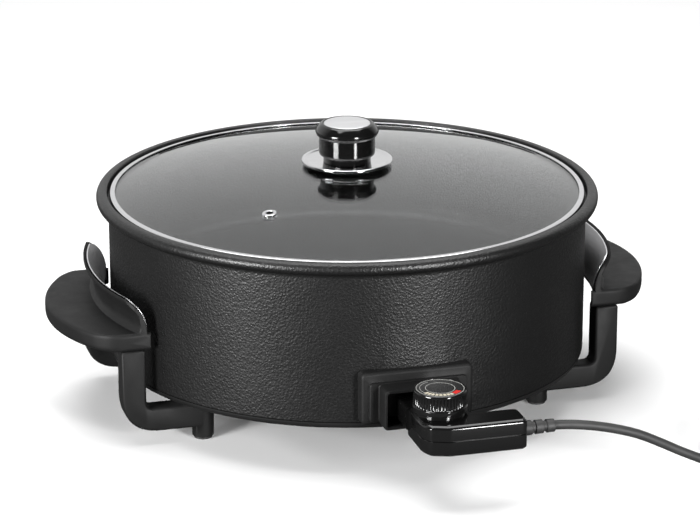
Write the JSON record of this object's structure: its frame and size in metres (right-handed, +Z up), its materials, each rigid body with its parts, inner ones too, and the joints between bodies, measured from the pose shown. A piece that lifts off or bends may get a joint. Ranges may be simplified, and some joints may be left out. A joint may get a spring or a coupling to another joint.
{
  "type": "electric griddle",
  "caption": "Deep round electric pan with a domed glass lid, two handle-and-leg frames and a plug-in thermostat control on a mains lead.",
  "frame": {"origin": "on the surface the pan stands on, under the middle of the pan, its handles and the plugged-in control", "axes": "+X towards the right handle, -Y towards the plug-in control, +Z up"},
  "size_m": [0.6082, 0.499, 0.2364],
  "materials": {
    "hammertone": "hammertone",
    "clear_glass": "polished",
    "bright_steel": "polished",
    "satin_steel": "brushed",
    "satin_black": "satin",
    "gloss_black": "gloss",
    "rubber": "matte",
    "cast_aluminium": "cast",
    "ceramic": "matte",
    "nickel": "satin",
    "brass": "satin",
    "dial_print": "printed"
  },
  "bodies": {
    "base": {"pan_shell": "hammertone", "base_cover": "hammertone", "heating_element": "nickel", "element_plate": "cast_aluminium", "sensor_block": "cast_aluminium", "socket_housing": "satin_black", "terminal_block": "ceramic", "terminal_pin_left": "nickel", "terminal_pin_right": "nickel", "socket_screw_left": "satin_steel", "socket_screw_right": "satin_steel", "grip_left": "satin_black", "grip_right": "satin_black", "heat_shield_left": "satin_steel", "heat_shield_right": "satin_steel", "shield_screw_left": "satin_steel", "shield_screw_right": "satin_steel", "leg_front_left": "satin_black", "leg_front_right": "satin_black", "leg_rear_left": "satin_black", "leg_rear_right": "satin_black", "leg_screw_front_left": "satin_steel", "leg_screw_front_right": "satin_steel", "leg_screw_rear_left": "satin_steel", "leg_screw_rear_right": "satin_steel", "foot_pad_front_left": "rubber", "foot_pad_front_right": "rubber", "foot_pad_rear_left": "rubber", "foot_pad_rear_right": "rubber", "foot_screw_front_left": "satin_steel", "foot_screw_front_right": "satin_steel", "foot_screw_rear_left": "satin_steel", "foot_screw_rear_right": "satin_steel"},
    "lid": {"lid_glass": "clear_glass", "lid_ring": "bright_steel", "vent_grommet": "bright_steel", "knob_plate": "bright_steel", "knob_body": "gloss_black", "knob_insert": "satin_steel", "knob_washer": "satin_steel", "knob_screw": "satin_steel"},
    "control": {"control_lower_shell": "gloss_black", "control_upper_shell": "gloss_black", "shell_screw": "satin_steel", "thermostat_switch": "ceramic", "temperature_probe": "bright_steel", "contact_left": "brass", "contact_right": "brass", "strain_relief": "rubber", "cord": "rubber", "cord_coil": "rubber", "cord_tie": "gloss_black", "plug_lead": "rubber", "plug_body": "rubber", "plug_pin_left": "nickel", "plug_pin_right": "nickel"},
    "dial": {"dial_knob": "gloss_black", "dial_face": "dial_print", "dial_shaft": "cast_aluminium"}
  },
  "joints": [
    {"name": "lid_lift", "type": "slide", "parent": "base", "child": "lid", "axis": [0, 0, 1], "range_m": [0, 0.2]},
    {"name": "control_pull", "type": "slide", "parent": "base", "child": "control", "axis": [0, -1, 0], "range_m": [0, 0.09]},
    {"name": "dial_turn", "type": "hinge", "parent": "control", "child": "dial", "pos_m": [0.003, -0.2155, 0.08], "axis": [0, 0, -1], "range_deg": [0, 270]}
  ]
}
